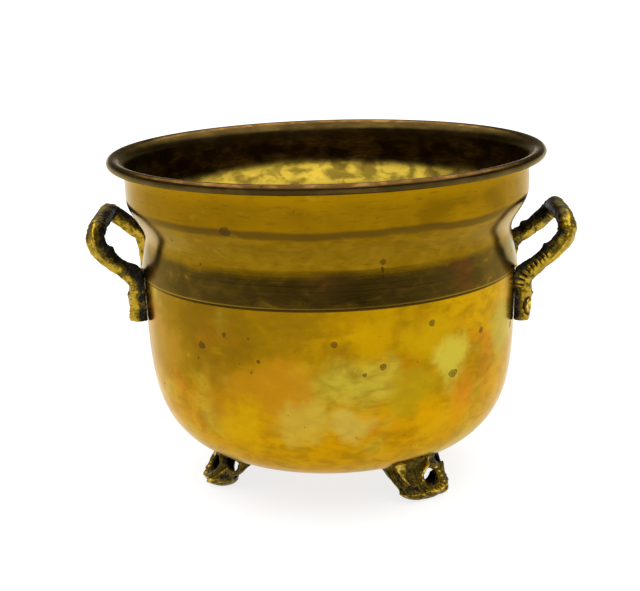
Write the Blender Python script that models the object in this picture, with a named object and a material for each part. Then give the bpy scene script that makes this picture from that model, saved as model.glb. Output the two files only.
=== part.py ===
"""Brass planter pot: a spun bowl and collar, a wired rim, two cast branch handles and three cast openwork feet.

Metres, +Z up. The origin is on the ground under the pot's axis, +X runs from handle to handle, -Y is the front.
"""

import math

import bmesh
import bpy
from mathutils import Matrix, Vector

# Overall size
HEIGHT = 0.199
RIM_RADIUS = 0.127
SHEET = 0.0009
TURNED_SEGMENTS = 48
TOUCH_GAP = 0.0003

# Rim bead: the sheet is curled round a wire
BEAD_RADIUS = 0.00275
BEAD_CENTRE_RADIUS = RIM_RADIUS - BEAD_RADIUS
BEAD_CENTRE_HEIGHT = HEIGHT - BEAD_RADIUS
CURL_TURN = math.radians(265)
CURL_STEPS = 10
LIP_STEPS = 4
WIRE_RADIUS = 0.0015
WIRE_SIDES = 8

# Collar, neck and shoulder, as radii of the outer face and depths below the rim
COLLAR_RADIUS = 0.1175
COLLAR_DEPTH = 0.023
NECK_RADIUS = 0.1076
NECK_DEPTH = 0.0475
NECK_STEPS = 6
CREASE_RADIUS = 0.1112
CREASE_DEPTH = 0.0675
FLARE_STEPS = 3
FLARE_PULL = (0.1081, 0.0515)

# Bowl below the crease: a superellipse, then a flat disc. Its top edge laps inside the collar piece
BOWL_RADIUS = 0.1104
BOWL_TOP_DEPTH = 0.0680
BOWL_DEPTH = 0.1119
LAP_HEIGHT = 0.0042
LAP_STEPS = 3
BOWL_TAPER = 0.02
BOWL_FLATNESS = 4.75
BOWL_FULLNESS = 3.75
BOWL_STEPS = 9
BOWL_LAST_TURN = math.radians(80)

# Handle: one cast branch, given as (distance from the axis, distance from the middle, depth below the rim, radius)
# Each handle's share of the plan's reach, its share of the plan's length, and how deep its stubs go
HANDLE_FITS = {"left": (0.955, 1.0, 0.0950), "right": (1.10, 1.08, 0.1010)}
# The castings are crooked: the arm at the back of the pot leaves the wall this much higher, in these shares
HANDLE_LIFTS = {"left": 0.0125, "right": 0.0070}
LIFT_SHARES = (0.0, 0.0, 0.5, 1.0, 1.0, 1.0, 0.8, 0.45, 0.15)
HANDLE_TURNS = {"left": math.pi, "right": 0.0}
STUB_TURN = math.radians(13)
STUB_REACH = 0.1149
STUB_OUT = STUB_REACH * math.cos(STUB_TURN)
STUB_SIDE = STUB_REACH * math.sin(STUB_TURN)
HANDLE_ARM = (
    (STUB_OUT, STUB_SIDE, 0.0985, 0.0042),
    (STUB_OUT, STUB_SIDE, 0.0880, 0.0047),
    (STUB_OUT, STUB_SIDE, 0.0770, 0.0047),
    (0.1150, 0.0262, 0.0712, 0.0047),
    (0.1205, 0.0262, 0.0668, 0.0046),
    (0.1275, 0.0260, 0.0608, 0.0049),
    (0.1330, 0.0254, 0.0545, 0.0050),
    (0.1352, 0.0225, 0.0488, 0.0050),
    (0.1350, 0.0150, 0.0443, 0.0047),
)
HANDLE_MIDDLE = (0.1345, 0.0, 0.0427, 0.0048)
HANDLE_SCREW_RISE = 0.0170

# Feet: one shell-shaped openwork casting, turned from the front towards +X.
# Its levels are (height, distance from the axis, half depth, half width)
FOOT_TURNS = {"front_right": 46.9, "back": 166.9, "left": -73.1}
FOOT_SEGMENTS = 24
FOOT_LEVELS = (
    (0.0000, 0.0720, 0.0052, 0.0085),
    (0.0012, 0.0720, 0.0080, 0.0120),
    (0.0040, 0.0715, 0.0098, 0.0165),
    (0.0080, 0.0693, 0.0106, 0.0208),
    (0.0140, 0.0650, 0.0105, 0.0230),
    (0.0200, 0.0615, 0.0115, 0.0232),
    (0.0330, 0.0600, 0.0130, 0.0225),
)
FOOT_HOLLOW = (
    (0.0048, 0.0702, 0.0050, 0.0110),
    (0.0080, 0.0688, 0.0070, 0.0165),
    (0.0120, 0.0660, 0.0074, 0.0190),
    (0.0150, 0.0645, 0.0066, 0.0180),
)
FOOT_WINDOW_TURNS = (-100, -55, 0, 55, 100, 180)
FOOT_WINDOW_RADIUS = 0.0034
FOOT_WINDOW_HEIGHT = 0.0103
FOOT_WINDOW_CENTRE = 0.0668
FOOT_WINDOW_SEGMENTS = 14
FOOT_WINDOW_REACH = 0.030

# Fasteners
SCREW_RADIUS = 0.0020
SCREW_BITE = 0.0046
HOLE_RADIUS = 0.00235
HEAD_RADIUS = 0.0037
HEAD_HEIGHT = 0.0023
WASHER_RADIUS = 0.0046
WASHER_THICKNESS = 0.0008
WASHER_GAP = 0.0008
FASTENER_SEGMENTS = 12
FOOT_SCREW_PLACE = math.radians(69.6)
FOOT_SCREW_SPREAD = math.radians(9)


def material(name, colour, roughness):
    """A plain brass finish."""
    finish = bpy.data.materials.new(name)
    finish.use_nodes = True
    shader = finish.node_tree.nodes["Principled BSDF"]
    shader.inputs["Base Color"].default_value = (*colour, 1)
    shader.inputs["Metallic"].default_value = 1
    shader.inputs["Roughness"].default_value = roughness
    return finish


def add_object(name, mesh, finish=None):
    """Put a mesh in the scene under its node's name."""
    obj = bpy.data.objects.new(name, mesh)
    bpy.context.scene.collection.objects.link(obj)
    if finish:
        mesh.materials.append(finish)
    return obj


def mesh_from(bm, name, sharp_degrees=35):
    """Finish a bmesh: outward normals, smooth shading, crisp edges."""
    bmesh.ops.remove_doubles(bm, verts=bm.verts, dist=1e-7)
    bmesh.ops.recalc_face_normals(bm, faces=bm.faces)
    mesh = bpy.data.meshes.new(name)
    bm.to_mesh(mesh)
    bm.free()
    mesh.shade_smooth()
    mesh.set_sharp_from_angle(angle=math.radians(sharp_degrees))
    return mesh


def turned(name, profile, segments=TURNED_SEGMENTS, closed=False):
    """Spin a (radius, height) profile about Z."""
    bm = bmesh.new()
    points = [bm.verts.new((radius, 0, height)) for radius, height in profile]
    ends = points[1:] + points[:1] if closed else points[1:]
    edges = [bm.edges.new(pair) for pair in zip(points, ends)]
    bmesh.ops.spin(
        bm, geom=points + edges, axis=(0, 0, 1), cent=(0, 0, 0), angle=math.tau, steps=segments, use_merge=True
    )
    return mesh_from(bm, name)


def baked(obj):
    """The mesh of an object with its bevel and modifiers applied; the object itself goes."""
    graph = bpy.context.evaluated_depsgraph_get()
    mesh = bpy.data.meshes.new_from_object(obj.evaluated_get(graph))
    bpy.data.objects.remove(obj)
    bm = bmesh.new()
    bm.from_mesh(mesh)
    return mesh_from(bm, mesh.name)


def branch(name, points):
    """A round bar through (x, y, z, radius) points, closed at both ends."""
    curve = bpy.data.curves.new(name, "CURVE")
    curve.dimensions = "3D"
    curve.bevel_depth = 1
    curve.bevel_resolution = 2
    curve.use_fill_caps = True
    curve.resolution_u = 3
    spline = curve.splines.new("BEZIER")
    spline.bezier_points.add(len(points) - 1)
    for knot, (x, y, z, radius) in zip(spline.bezier_points, points):
        knot.co = (x, y, z)
        knot.radius = radius
        knot.handle_left_type = "AUTO"
        knot.handle_right_type = "AUTO"
    return baked(add_object(name, curve))


def boolean(obj, operation, other):
    """Add, cut or keep what is common with another object."""
    modifier = obj.modifiers.new(f"{operation.lower()} {other.name}", "BOOLEAN")
    modifier.operation = operation
    modifier.object = other


def hide(obj):
    """Keep a cutter out of the model."""
    obj.hide_render = True
    obj.display_type = "WIRE"
    return obj


def arc(centre, radius, start, turn, steps):
    """Points on an arc in the profile plane, first point left out."""
    angles = [start + turn * step / steps for step in range(1, steps + 1)]
    return [(centre[0] + radius * math.cos(a), centre[1] + radius * math.sin(a)) for a in angles]


def offset(line, distance):
    """Move a profile to the left of its direction of travel. An end on the axis stays on it."""
    moved = []
    for index, point in enumerate(line):
        before = Vector(line[max(index - 1, 0)])
        after = Vector(line[min(index + 1, len(line) - 1)])
        here = Vector(point)
        sides = [step.normalized() for step in (here - before, after - here) if step.length > 0]
        normals = [Vector((-side.y, side.x)) for side in sides]
        mitre = sum(normals, Vector((0, 0))).normalized()
        moved.append(here + mitre * distance / mitre.dot(normals[0]))
    if line[0][0] == 0:
        moved[0].x = 0
    return [tuple(point) for point in moved]


def bowl_point(turn):
    """Outer face of the bowl: turn is 0 at the top and a quarter turn at the middle of the bottom."""
    depth = math.sin(turn) ** (2 / BOWL_FLATNESS)
    radius = (1 - BOWL_TAPER * depth) * math.cos(turn) ** (2 / BOWL_FULLNESS)
    return BOWL_RADIUS * radius, HEIGHT - BOWL_TOP_DEPTH - depth * BOWL_DEPTH


def bowl_line():
    """Outer face from the middle of the bottom up to just under the crease."""
    turns = [BOWL_LAST_TURN * (1 - step / BOWL_STEPS) for step in range(BOWL_STEPS + 1)]
    line = [bowl_point(turn) for turn in turns]
    return [(0, line[0][1])] + line


def flare_point(t):
    """Outer face of the shoulder: t is 0 at the neck and 1 at the crease."""
    radius = NECK_RADIUS * (1 - t) ** 2 + 2 * t * (1 - t) * FLARE_PULL[0] + CREASE_RADIUS * t**2
    depth = NECK_DEPTH * (1 - t) ** 2 + 2 * t * (1 - t) * FLARE_PULL[1] + CREASE_DEPTH * t**2
    return radius, HEIGHT - depth


def neck_line():
    """Outer face from the crease, through the neck, to the top of the collar."""
    line = [flare_point(1 - step / FLARE_STEPS) for step in range(FLARE_STEPS + 1)]
    for step in range(1, NECK_STEPS + 1):
        t = step / NECK_STEPS
        swell = (1 - math.cos(math.pi * t)) / 2
        depth = NECK_DEPTH + (COLLAR_DEPTH - NECK_DEPTH) * t
        line.append((NECK_RADIUS + (COLLAR_RADIUS - NECK_RADIUS) * swell, HEIGHT - depth))
    return line


def lap_line():
    """Outer face of the bowl's top edge, which follows the inner face of the collar piece."""
    flare = neck_line()[: FLARE_STEPS + 1]
    inside = offset(flare, SHEET + TOUCH_GAP)
    lowest, highest = inside[0], inside[1]
    share = LAP_HEIGHT / (highest[1] - lowest[1])
    steps = [share * step / LAP_STEPS for step in range(LAP_STEPS + 1)]
    return [(lowest[0] + (highest[0] - lowest[0]) * t, lowest[1] + (highest[1] - lowest[1]) * t) for t in steps]


def rim_line():
    """Under face of the lip and of the curl that closes round the wire."""
    lip_radius = BEAD_CENTRE_RADIUS - COLLAR_RADIUS
    lip_centre = (BEAD_CENTRE_RADIUS, HEIGHT - SHEET - lip_radius)
    lip = arc(lip_centre, lip_radius, math.pi, -math.pi / 2, LIP_STEPS)
    bead_centre = (BEAD_CENTRE_RADIUS, BEAD_CENTRE_HEIGHT)
    curl = arc(bead_centre, BEAD_RADIUS - SHEET, math.pi / 2, -CURL_TURN, CURL_STEPS)
    return [(COLLAR_RADIUS, lip_centre[1])] + lip + curl


def pot_skin(distance):
    """Solid that fills the pot from its bottom to its collar, grown by a distance."""
    line = offset(bowl_line() + neck_line(), -distance)
    return line + [(0, line[-1][1])]


def make_pot_bowl(holes):
    outer = bowl_line() + lap_line()
    inner = offset(outer, SHEET)
    finish = material("pot_bowl", (0.72, 0.48, 0.10), 0.22)
    bowl = add_object("pot_bowl", turned("pot_bowl", inner + outer[::-1]), finish)
    boolean(bowl, "DIFFERENCE", holes)
    return bowl


def make_pot_collar():
    outer = neck_line() + rim_line()
    inner = offset(outer, SHEET)
    finish = material("pot_collar", (0.60, 0.40, 0.09), 0.25)
    return add_object("pot_collar", turned("pot_collar", inner + outer[::-1], closed=True), finish)


def make_rim_wire():
    centre = (BEAD_CENTRE_RADIUS, BEAD_CENTRE_HEIGHT)
    section = arc(centre, WIRE_RADIUS, 0, math.tau, WIRE_SIDES)
    return add_object("rim_wire", turned("rim_wire", section, closed=True), material("rim_wire", (0.5, 0.33, 0.1), 0.4))


def make_handle(side, seat, holes):
    """One branch: up the wall at one end, out and up, across the grip, and down the wall at the other end."""
    reach, length, lowest = HANDLE_FITS[side]
    base = HANDLE_ARM[0][2]
    front = -math.cos(HANDLE_TURNS[side])

    def placed(out, across, depth, radius):
        wide = STUB_OUT + (out - STUB_OUT) * reach
        return wide, front * across, HEIGHT - lowest + (base - depth) * length, radius

    arm = [placed(*spot) for spot in HANDLE_ARM]
    middle = [placed(*HANDLE_MIDDLE)]
    lifts = [HANDLE_LIFTS[side] * share for share in LIFT_SHARES]
    raised = [(x, -y, z + lift, thick) for (x, y, z, thick), lift in zip(arm, lifts)]
    name = f"handle_{side}"
    finish = material(name, (0.50, 0.36, 0.11), 0.38)
    handle = add_object(name, branch(name, arm + middle + raised[::-1]), finish)
    handle.rotation_euler.z = HANDLE_TURNS[side]
    boolean(handle, "DIFFERENCE", seat)
    boolean(handle, "DIFFERENCE", holes)
    return handle


def loft(name, levels):
    """Closed solid through upright ellipses, with its outward direction along -Y."""
    bm = bmesh.new()
    rings = []
    for height, reach, half_depth, half_width in levels:
        turns = [math.tau * index / FOOT_SEGMENTS for index in range(FOOT_SEGMENTS)]
        spots = [(half_width * math.sin(a), -reach - half_depth * math.cos(a), height) for a in turns]
        rings.append([bm.verts.new(spot) for spot in spots])
    edges = [[bm.edges.new((ring[i - 1], ring[i])) for i in range(FOOT_SEGMENTS)] for ring in rings]
    for low, high in zip(edges, edges[1:]):
        bmesh.ops.bridge_loops(bm, edges=low + high)
    bm.faces.new(rings[0])
    bm.faces.new(rings[-1])
    return mesh_from(bm, name)


def window_mesh(degrees):
    """Cutter for one hole of a foot, from inside its hollow out through its wall."""
    bm = bmesh.new()
    towards = Matrix.Rotation(math.radians(degrees), 4, "Z") @ Matrix.Rotation(math.pi / 2, 4, "X")
    centre = Matrix.Translation((0, -FOOT_WINDOW_CENTRE, FOOT_WINDOW_HEIGHT))
    bmesh.ops.create_cone(
        bm,
        cap_ends=True,
        segments=FOOT_WINDOW_SEGMENTS,
        radius1=FOOT_WINDOW_RADIUS,
        radius2=FOOT_WINDOW_RADIUS,
        depth=FOOT_WINDOW_REACH,
        matrix=centre @ towards @ Matrix.Translation((0, 0, FOOT_WINDOW_REACH / 2)),
    )
    return mesh_from(bm, "foot_window")


def foot_mesh():
    """The whole casting as one body: a shell with a hollow middle and holes all round."""
    foot = add_object("foot_casting", loft("foot_casting", FOOT_LEVELS))
    helpers = [add_object("foot_hollow", loft("foot_hollow", FOOT_HOLLOW))]
    helpers += [add_object("foot_window", window_mesh(degrees)) for degrees in FOOT_WINDOW_TURNS]
    for helper in helpers:
        boolean(foot, "DIFFERENCE", helper)
    mesh = baked(foot)
    for helper in helpers:
        bpy.data.objects.remove(helper)
    return mesh


def make_feet(seat, holes):
    shared = foot_mesh()
    feet = []
    for place, degrees in FOOT_TURNS.items():
        name = f"foot_{place}"
        foot = add_object(name, shared.copy(), material(name, (0.52, 0.38, 0.12), 0.4))
        foot.rotation_euler.z = math.radians(degrees)
        boolean(foot, "DIFFERENCE", seat)
        boolean(foot, "DIFFERENCE", holes)
        feet.append(foot)
    return feet


def screw_places():
    """Name and matrix of each screw: local +Z points out through the wall, origin on the outer face."""
    places = {}
    turned_90 = math.pi / 2
    for side, turn in HANDLE_TURNS.items():
        height = HEIGHT - HANDLE_FITS[side][2] + HANDLE_SCREW_RISE
        depth_share = (HEIGHT - BOWL_TOP_DEPTH - height) / BOWL_DEPTH
        radius = BOWL_RADIUS * (1 - BOWL_TAPER * depth_share)
        for end, sign in (("front", -1), ("back", 1)):
            place_turn = turn + sign * STUB_TURN * math.cos(turn)
            out = Matrix.Rotation(turned_90, 4, "Y")
            spot = Matrix.Translation((radius, 0, height))
            places[f"handle_{side}_{end}"] = Matrix.Rotation(place_turn, 4, "Z") @ spot @ out
    radius, height = bowl_point(FOOT_SCREW_PLACE)
    next_radius, next_height = bowl_point(FOOT_SCREW_PLACE + 0.01)
    slope = math.atan2(height - next_height, radius - next_radius)
    for place, degrees in FOOT_TURNS.items():
        for end, sign in (("a", -1), ("b", 1)):
            place_turn = math.radians(degrees) - turned_90 + sign * FOOT_SCREW_SPREAD
            down = Matrix.Rotation(math.pi - slope, 4, "Y")
            spot = Matrix.Translation((radius, 0, height))
            places[f"foot_{place}_{end}"] = Matrix.Rotation(place_turn, 4, "Z") @ spot @ down
    return places


def make_screw_holes(places):
    """One cutter with every drilled hole: through the sheet and blind in the casting."""
    start = -SHEET - WASHER_GAP - WASHER_THICKNESS
    end = SCREW_BITE + TOUCH_GAP * 2
    bm = bmesh.new()
    for place in places.values():
        bmesh.ops.create_cone(
            bm,
            cap_ends=True,
            segments=FASTENER_SEGMENTS,
            radius1=HOLE_RADIUS,
            radius2=HOLE_RADIUS,
            depth=end - start,
            matrix=place @ Matrix.Translation((0, 0, (start + end) / 2)),
        )
    return hide(add_object("screw_holes", mesh_from(bm, "screw_holes")))


def screw_mesh():
    """Pan head screw, its head inside the pot."""
    washer_face = -SHEET - WASHER_GAP - WASHER_THICKNESS
    head_base = washer_face - TOUCH_GAP
    head_top = head_base - HEAD_HEIGHT
    profile = [
        (0, SCREW_BITE),
        (SCREW_RADIUS * 0.7, SCREW_BITE),
        (SCREW_RADIUS, SCREW_BITE - SCREW_RADIUS * 0.3),
        (SCREW_RADIUS, head_base),
        (HEAD_RADIUS, head_base),
        (HEAD_RADIUS, head_base - HEAD_HEIGHT * 0.45),
        (HEAD_RADIUS * 0.75, head_base - HEAD_HEIGHT * 0.88),
        (0, head_top),
    ]
    return turned("screw", profile, FASTENER_SEGMENTS)


def washer_mesh():
    near = -SHEET - WASHER_GAP
    far = near - WASHER_THICKNESS
    profile = [(HOLE_RADIUS, near), (WASHER_RADIUS, near), (WASHER_RADIUS, far), (HOLE_RADIUS, far)]
    return turned("washer", profile, FASTENER_SEGMENTS, closed=True)


def make_fasteners(places):
    screws = screw_mesh()
    washers = washer_mesh()
    for spot, place in places.items():
        screw = add_object(f"screw_{spot}", screws.copy(), material(f"screw_{spot}", (0.55, 0.40, 0.15), 0.35))
        washer = add_object(f"washer_{spot}", washers.copy(), material(f"washer_{spot}", (0.60, 0.44, 0.16), 0.35))
        screw.matrix_world = place
        washer.matrix_world = place


def main():
    for obj in list(bpy.data.objects):
        bpy.data.objects.remove(obj)
    places = screw_places()
    seat = hide(add_object("pot_seat", turned("pot_seat", pot_skin(TOUCH_GAP))))
    holes = make_screw_holes(places)
    make_pot_bowl(holes)
    make_pot_collar()
    make_rim_wire()
    for side in HANDLE_FITS:
        make_handle(side, seat, holes)
    make_feet(seat, holes)
    make_fasteners(places)


main()
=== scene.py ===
"""Looks of the brass planter pot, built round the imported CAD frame. Metres, +Z up, -Y is the front."""

import math

import bmesh
import bpy
from mathutils import Matrix, Vector, noise


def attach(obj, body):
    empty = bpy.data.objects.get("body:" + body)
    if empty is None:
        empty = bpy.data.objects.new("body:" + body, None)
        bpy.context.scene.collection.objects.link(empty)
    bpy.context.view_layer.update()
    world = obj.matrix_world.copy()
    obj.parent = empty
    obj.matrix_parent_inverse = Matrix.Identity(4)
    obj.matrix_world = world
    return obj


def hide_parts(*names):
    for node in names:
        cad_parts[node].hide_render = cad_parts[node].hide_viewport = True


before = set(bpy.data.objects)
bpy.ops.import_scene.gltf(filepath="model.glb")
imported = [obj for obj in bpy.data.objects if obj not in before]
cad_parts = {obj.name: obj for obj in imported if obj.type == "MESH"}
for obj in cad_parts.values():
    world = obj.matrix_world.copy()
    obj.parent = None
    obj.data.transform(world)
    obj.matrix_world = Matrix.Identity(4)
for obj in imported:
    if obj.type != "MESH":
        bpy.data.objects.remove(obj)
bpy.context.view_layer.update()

HEIGHT = 0.199
RIM_RADIUS = 0.127

# Camera, level with the front of the pot and a little above it
CAMERA_DISTANCE = 0.7113
CAMERA_ABOVE_RIM = 0.105
CAMERA_YAW = math.radians(-0.487)
CAMERA_PITCH = math.radians(15.33)
CAMERA_ROLL = math.radians(1.80)
CAMERA_LENS = 68.76
SENSOR_WIDTH = 36

# The pot's sheet, as in the CAD
SHEET = 0.0009
TOUCH_GAP = 0.0003
BEAD_RADIUS = 0.00275
COLLAR_RADIUS = 0.1175
COLLAR_DEPTH = 0.023
NECK_RADIUS = 0.1076
NECK_DEPTH = 0.0475
CREASE_RADIUS = 0.1112
CREASE_DEPTH = 0.0675
FLARE_PULL = (0.1081, 0.0515)
BOWL_RADIUS = 0.1104
BOWL_TOP_DEPTH = 0.0680
BOWL_DEPTH = 0.1119
BOWL_TAPER = 0.02
BOWL_FLATNESS = 4.75
BOWL_FULLNESS = 3.75
BOWL_LAST_TURN = math.radians(80)
LAP_HEIGHT = 0.0042
CURL_TURN = math.radians(265)
POT_SEGMENTS = 300
CREASE = HEIGHT - CREASE_DEPTH

# Stains on the sheet: degrees from the front, depth under the rim and radius in mm, how much wider than tall
STAINS = (
    (0.7, 86.5, 2.0, 1.0),
    (14.0, 100.5, 2.1, 1.0),
    (8.9, 104.0, 1.2, 1.0),
    (28.8, 80.3, 2.2, 1.0),
    (36.5, 111.3, 2.6, 1.3),
    (-26.6, 26.5, 2.6, 1.5),
    (-39.2, 92.3, 2.2, 1.2),
    (-31.0, 84.0, 1.5, 1.0),
    (-20.5, 97.0, 1.3, 1.0),
    (14.8, 44.6, 2.0, 0.9),
    (14.7, 48.5, 1.4, 0.7),
    (14.6, 51.9, 1.2, 0.7),
    (48.0, 92.0, 1.8, 1.0),
    (70.0, 100.0, 2.4, 1.2),
    (118.0, 88.0, 2.2, 1.1),
    (163.0, 119.0, 2.6, 1.4),
    (205.0, 95.0, 2.0, 1.0),
    (250.0, 108.0, 2.3, 1.2),
    (285.0, 35.0, 2.1, 1.0),
    (140.0, 33.0, 2.4, 1.3),
)

# Clouds of patina on the bowl: degrees from the front, depth and radius in mm, strength and colour
CLOUDS = (
    (-34.0, 82.0, 34.0, 0.55, (0.150, 0.080, 0.003)),
    (-12.0, 76.0, 20.0, 0.50, (0.190, 0.098, 0.003)),
    (-16.0, 113.0, 26.0, 0.75, (0.430, 0.190, 0.006)),
    (-33.0, 122.0, 22.0, 0.60, (0.370, 0.160, 0.004)),
    (-28.0, 138.0, 20.0, 0.60, (0.560, 0.330, 0.002)),
    (-8.0, 130.0, 17.0, 0.42, (0.500, 0.420, 0.060)),
    (5.0, 132.0, 14.0, 0.48, (0.500, 0.430, 0.080)),
    (12.0, 84.0, 17.0, 0.60, (0.500, 0.290, 0.001)),
    (2.0, 92.0, 12.0, 0.50, (0.200, 0.100, 0.003)),
    (29.0, 88.0, 18.0, 0.65, (0.480, 0.300, 0.002)),
    (36.0, 102.0, 17.0, 0.80, (0.520, 0.430, 0.040)),
    (22.0, 118.0, 16.0, 0.60, (0.370, 0.260, 0.006)),
    (40.0, 124.0, 15.0, 0.60, (0.560, 0.200, 0.010)),
    (34.0, 140.0, 20.0, 0.60, (0.600, 0.310, 0.001)),
    (62.0, 96.0, 20.0, 0.60, (0.360, 0.330, 0.060)),
    (80.0, 118.0, 24.0, 0.60, (0.300, 0.150, 0.006)),
    (112.0, 94.0, 26.0, 0.60, (0.450, 0.370, 0.040)),
    (135.0, 130.0, 24.0, 0.60, (0.550, 0.240, 0.008)),
    (165.0, 96.0, 28.0, 0.60, (0.200, 0.105, 0.004)),
    (190.0, 120.0, 22.0, 0.60, (0.520, 0.420, 0.040)),
    (222.0, 90.0, 26.0, 0.60, (0.480, 0.260, 0.002)),
    (248.0, 126.0, 26.0, 0.60, (0.240, 0.120, 0.004)),
    (284.0, 100.0, 22.0, 0.60, (0.440, 0.200, 0.008)),
    (-56.0, 104.0, 20.0, 0.60, (0.400, 0.200, 0.010)),
)

# Handles: (distance out, across, depth, radius) from the foot of the front stub to the middle of the grip
STUB_OUT = 0.1149 * math.cos(math.radians(13))
STUB_SIDE = 0.1149 * math.sin(math.radians(13))
HANDLE_ARM = (
    (STUB_OUT, STUB_SIDE, 0.0985, 0.0042),
    (STUB_OUT, STUB_SIDE, 0.0880, 0.0047),
    (STUB_OUT, STUB_SIDE, 0.0770, 0.0047),
    (0.1150, 0.0262, 0.0712, 0.0047),
    (0.1205, 0.0262, 0.0668, 0.0046),
    (0.1275, 0.0260, 0.0608, 0.0049),
    (0.1330, 0.0254, 0.0545, 0.0050),
    (0.1352, 0.0225, 0.0488, 0.0050),
    (0.1350, 0.0150, 0.0443, 0.0047),
)
HANDLE_MIDDLE = (0.1345, 0.0, 0.0427, 0.0048)
HANDLE_FITS = {"left": (0.955, 1.0, 0.0950), "right": (1.10, 1.08, 0.1010)}
HANDLE_LIFTS = {"left": 0.0125, "right": 0.0070}
LIFT_SHARES = (0.0, 0.0, 0.5, 1.0, 1.0, 1.0, 0.8, 0.45, 0.15)
HANDLE_TURNS = {"left": math.pi, "right": 0.0}
HANDLE_RINGS = 420
HANDLE_SIDES = 88
BARK_GRAIN = (170, 420, 1405.6)

# Feet: (height, distance from the axis, half depth, half width) of each level
FOOT_TURNS = {"front_right": 46.9, "back": 166.9, "left": -73.1}
FOOT_LEVELS = (
    (0.0000, 0.0720, 0.0056, 0.0090),
    (0.0012, 0.0720, 0.0080, 0.0120),
    (0.0040, 0.0714, 0.0096, 0.0152),
    (0.0080, 0.0692, 0.0103, 0.0192),
    (0.0140, 0.0647, 0.0108, 0.0228),
    (0.0200, 0.0600, 0.0130, 0.0240),
    (0.0330, 0.0580, 0.0150, 0.0240),
)
FOOT_HOLLOW = (
    (0.0042, 0.0702, 0.0055, 0.0120),
    (0.0080, 0.0688, 0.0076, 0.0175),
    (0.0130, 0.0657, 0.0078, 0.0200),
    (0.0175, 0.0630, 0.0078, 0.0195),
    (0.0260, 0.0610, 0.0080, 0.0180),
)
# Holes of a foot: degrees from straight outward, height, half width and half height
FOOT_HOLES = (
    (2, 0.0120, 0.0064, 0.0044),
    (81.5, 0.0164, 0.0034, 0.0033),
    (116, 0.0075, 0.0050, 0.0050),
    (-131, 0.0070, 0.0026, 0.0042),
    (180, 0.0105, 0.0042, 0.0034),
)
FOOT_VOXEL = 0.00042
FOOT_RINGS = 110
FOOT_SIDES = 220


# ---------------------------------------------------------------- node helpers


def add_node(tree, kind, inputs=None, **settings):
    """A shader node with its settings, and with its inputs either linked or set."""
    made = tree.nodes.new(kind)
    for name, value in settings.items():
        setattr(made, name, value)
    for key, value in (inputs or {}).items():
        if isinstance(value, bpy.types.NodeSocket):
            tree.links.new(value, made.inputs[key])
        else:
            made.inputs[key].default_value = value
    return made


def calc(tree, operation, a, b=0.0, clamp=False):
    return add_node(tree, "ShaderNodeMath", {0: a, 1: b}, operation=operation, use_clamp=clamp).outputs[0]


def ease(tree, value, low, high, start=0.0, end=1.0):
    """Smooth step of a value from start at low to end at high."""
    inputs = {"Value": value, "From Min": low, "From Max": high, "To Min": start, "To Max": end}
    return add_node(tree, "ShaderNodeMapRange", inputs, interpolation_type="SMOOTHSTEP").outputs[0]


def mix(tree, share, a, b):
    """Colour mix; a and b are colours or sockets."""
    colours = [value if isinstance(value, bpy.types.NodeSocket) else (*value, 1) for value in (a, b)]
    inputs = {0: share, 6: colours[0], 7: colours[1]}
    return add_node(tree, "ShaderNodeMix", inputs, data_type="RGBA").outputs[2]


def scaled(tree, vector, factors):
    return add_node(tree, "ShaderNodeVectorMath", {0: vector, 1: factors}, operation="MULTIPLY").outputs[0]


def clouds(tree, vector, scale, detail=3.0, distortion=0.0):
    inputs = {"Vector": vector, "Scale": scale, "Detail": detail, "Distortion": distortion}
    return add_node(tree, "ShaderNodeTexNoise", inputs).outputs["Fac"]


def new_material(name):
    """Material, its node tree, its Principled shader and object coordinates in metres."""
    finish = bpy.data.materials.new(name)
    finish.use_nodes = True
    tree = finish.node_tree
    shader = tree.nodes["Principled BSDF"]
    place = add_node(tree, "ShaderNodeTexCoord").outputs["Object"]
    return finish, tree, shader, place


# ---------------------------------------------------------------- camera, floor and light


def make_camera():
    side = Vector((math.cos(CAMERA_YAW), -math.sin(CAMERA_YAW), 0))
    ahead = Vector(
        (
            math.sin(CAMERA_YAW) * math.cos(CAMERA_PITCH),
            math.cos(CAMERA_YAW) * math.cos(CAMERA_PITCH),
            -math.sin(CAMERA_PITCH),
        )
    )
    up = side.cross(ahead)
    right = side * math.cos(CAMERA_ROLL) - up * math.sin(CAMERA_ROLL)
    top = side * math.sin(CAMERA_ROLL) + up * math.cos(CAMERA_ROLL)
    data = bpy.data.cameras.new("camera")
    data.lens = CAMERA_LENS
    data.sensor_width = SENSOR_WIDTH
    data.clip_start = 0.01
    camera = bpy.data.objects.new("camera", data)
    rotation = Matrix((right, top, -ahead)).transposed()
    place = Matrix.Translation((0, -CAMERA_DISTANCE, HEIGHT + CAMERA_ABOVE_RIM))
    camera.matrix_world = place @ rotation.to_4x4()
    bpy.context.scene.collection.objects.link(camera)
    bpy.context.scene.camera = camera


def make_world():
    """A white sweep at and below the horizon, a dark room above it, and a wide softbox overhead."""
    world = bpy.data.worlds.new("studio")
    bpy.context.scene.world = world
    world.use_nodes = True
    tree = world.node_tree
    direction = add_node(tree, "ShaderNodeTexCoord").outputs["Generated"]
    rise = add_node(tree, "ShaderNodeSeparateXYZ", {0: direction}).outputs["Z"]
    sweep = ease(tree, rise, 0.02, 0.12, 1.0, 0.07)
    softbox = ease(tree, rise, 0.45, 0.72, 0.0, 2.2)
    seen = add_node(tree, "ShaderNodeLightPath").outputs["Is Camera Ray"]
    strength = calc(tree, "ADD", sweep, softbox)
    strength = add_node(tree, "ShaderNodeMix", {0: seen, 2: strength, 3: 1.0}).outputs[0]
    tree.links.new(strength, tree.nodes["Background"].inputs["Strength"])
    tree.nodes["Background"].inputs["Color"].default_value = (1, 1, 1, 1)


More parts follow.
